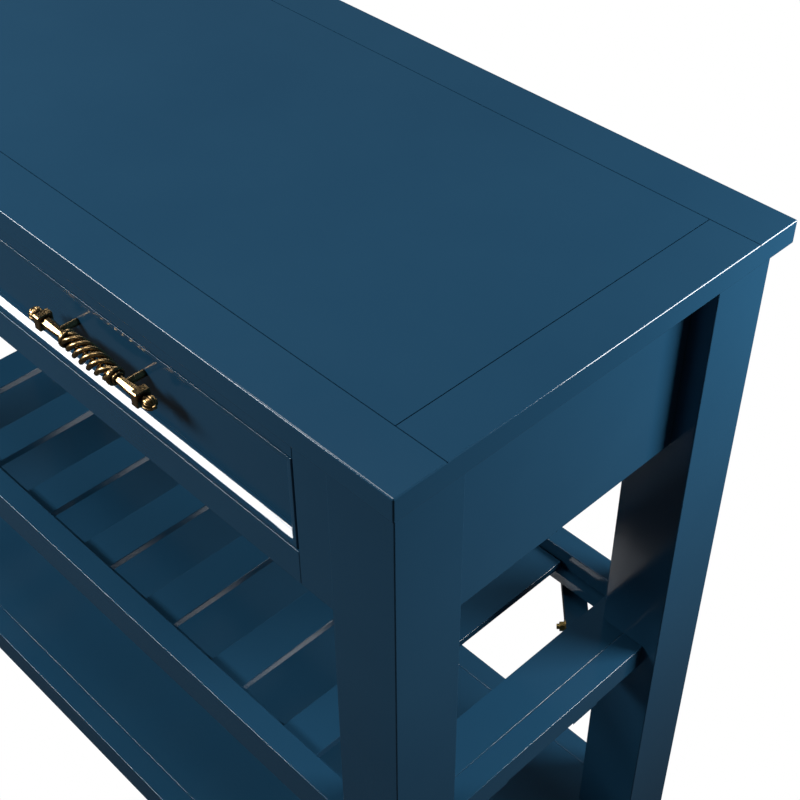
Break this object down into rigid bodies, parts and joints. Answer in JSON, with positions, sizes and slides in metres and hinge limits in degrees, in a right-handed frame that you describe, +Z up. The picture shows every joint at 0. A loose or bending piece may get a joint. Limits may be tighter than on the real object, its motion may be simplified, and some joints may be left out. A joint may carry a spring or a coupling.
{
  "type": "kitchen island cart",
  "caption": "Long kitchen island table with a bordered plank top, drawers in a face frame, a slatted middle shelf and a solid lower shelf.",
  "frame": {"origin": "on the floor, midway along the length and depth of the top", "axes": "+Z up, +X to the right seen from the front, the drawer fronts face -Y"},
  "size_m": [1.274, 0.4616, 0.9144],
  "materials": {
    "painted_wood": "semi-gloss dark teal blue lacquer",
    "bare_wood": "bare sanded hardwood",
    "plywood": "sanded plywood",
    "antique_brass": "antiqued with dark recesses",
    "yellow_zinc": "yellow passivated zinc plate",
    "screw_steel": "zinc plated",
    "glide_plastic": "moulded"
  },
  "bodies": {
    "carcass": {"back_apron": "painted_wood", "base_panel": "painted_wood", "base_rail_back": "painted_wood", "base_rail_front": "painted_wood", "brace_bolts": "yellow_zinc", "divider": "bare_wood", "face_middle_stile": "painted_wood", "face_rail_low": "painted_wood", "face_rail_top": "painted_wood", "face_stile_left": "painted_wood", "face_stile_right": "painted_wood", "leg_back_left": "painted_wood", "leg_back_right": "painted_wood", "leg_front_left": "painted_wood", "leg_front_right": "painted_wood", "leg_glides": "glide_plastic", "runner_inner_left": "bare_wood", "runner_inner_right": "bare_wood", "runner_outer_left": "bare_wood", "runner_outer_right": "bare_wood", "shelf_brace_back_left": "painted_wood", "shelf_brace_back_right": "painted_wood", "shelf_brace_front_left": "painted_wood", "shelf_brace_front_right": "painted_wood", "shelf_end_slat_left": "painted_wood", "shelf_end_slat_right": "painted_wood", "shelf_rail_back": "painted_wood", "shelf_rail_front": "painted_wood", "shelf_rail_side_left": "painted_wood", "shelf_rail_side_right": "painted_wood", "shelf_slat_1": "painted_wood", "shelf_slat_2": "painted_wood", "shelf_slat_3": "painted_wood", "shelf_slat_4": "painted_wood", "shelf_slat_5": "painted_wood", "shelf_slat_6": "painted_wood", "shelf_slat_7": "painted_wood", "shelf_slat_8": "painted_wood", "shelf_slat_9": "painted_wood", "side_apron_left": "painted_wood", "side_apron_right": "painted_wood", "top_back_board": "painted_wood", "top_end_board_left": "painted_wood", "top_end_board_right": "painted_wood", "top_front_board": "painted_wood", "top_panel": "painted_wood"},
    "drawer_left": {"drawer_bottom_left": "plywood", "drawer_front_left": "painted_wood", "drawer_rear_left": "bare_wood", "drawer_side_inner_left": "bare_wood", "drawer_side_outer_left": "bare_wood", "pull_left": "antique_brass", "pull_screws_left": "screw_steel"},
    "drawer_right": {"drawer_bottom_right": "plywood", "drawer_front_right": "painted_wood", "drawer_rear_right": "bare_wood", "drawer_side_inner_right": "bare_wood", "drawer_side_outer_right": "bare_wood", "pull_right": "antique_brass", "pull_screws_right": "screw_steel"}
  },
  "joints": [
    {"name": "drawer_left_slide", "type": "slide", "parent": "carcass", "child": "drawer_left", "axis": [0, -1, 0], "range_m": [0, 0.25]},
    {"name": "drawer_right_slide", "type": "slide", "parent": "carcass", "child": "drawer_right", "axis": [0, -1, 0], "range_m": [0, 0.25]}
  ]
}
